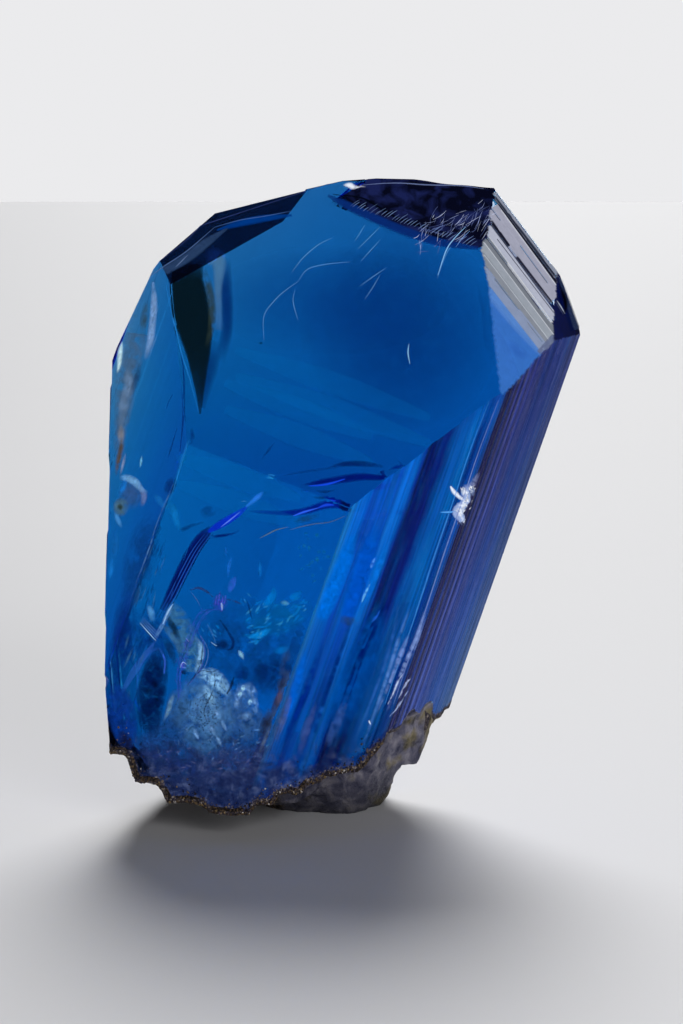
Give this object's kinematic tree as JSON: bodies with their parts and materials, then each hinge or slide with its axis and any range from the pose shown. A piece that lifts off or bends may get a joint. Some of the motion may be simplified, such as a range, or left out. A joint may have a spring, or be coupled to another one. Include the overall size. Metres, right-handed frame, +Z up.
{
  "type": "rough tanzanite crystal",
  "caption": "Uncut blue crystal with a broad flat window face, finely striated prism walls, a curved break on top and a rough broken base to stand on.",
  "frame": {"origin": "centre of the footprint of the whole crystal, on the surface that it rests on", "axes": "+Z up from the resting surface; the window face looks towards -Y; +X to the right as the window is seen from the front; the crystal's length leans right and back from +Z"},
  "size_m": [0.0322, 0.0198, 0.0419],
  "materials": {
    "blue_crystal": "clear deep blue crystal, glossy flat faces, striated violet-grey side wall, brown-grey crust on the broken base"
  },
  "bodies": {
    "root": {"tanzanite_crystal": "blue_crystal"}
  },
  "joints": []
}
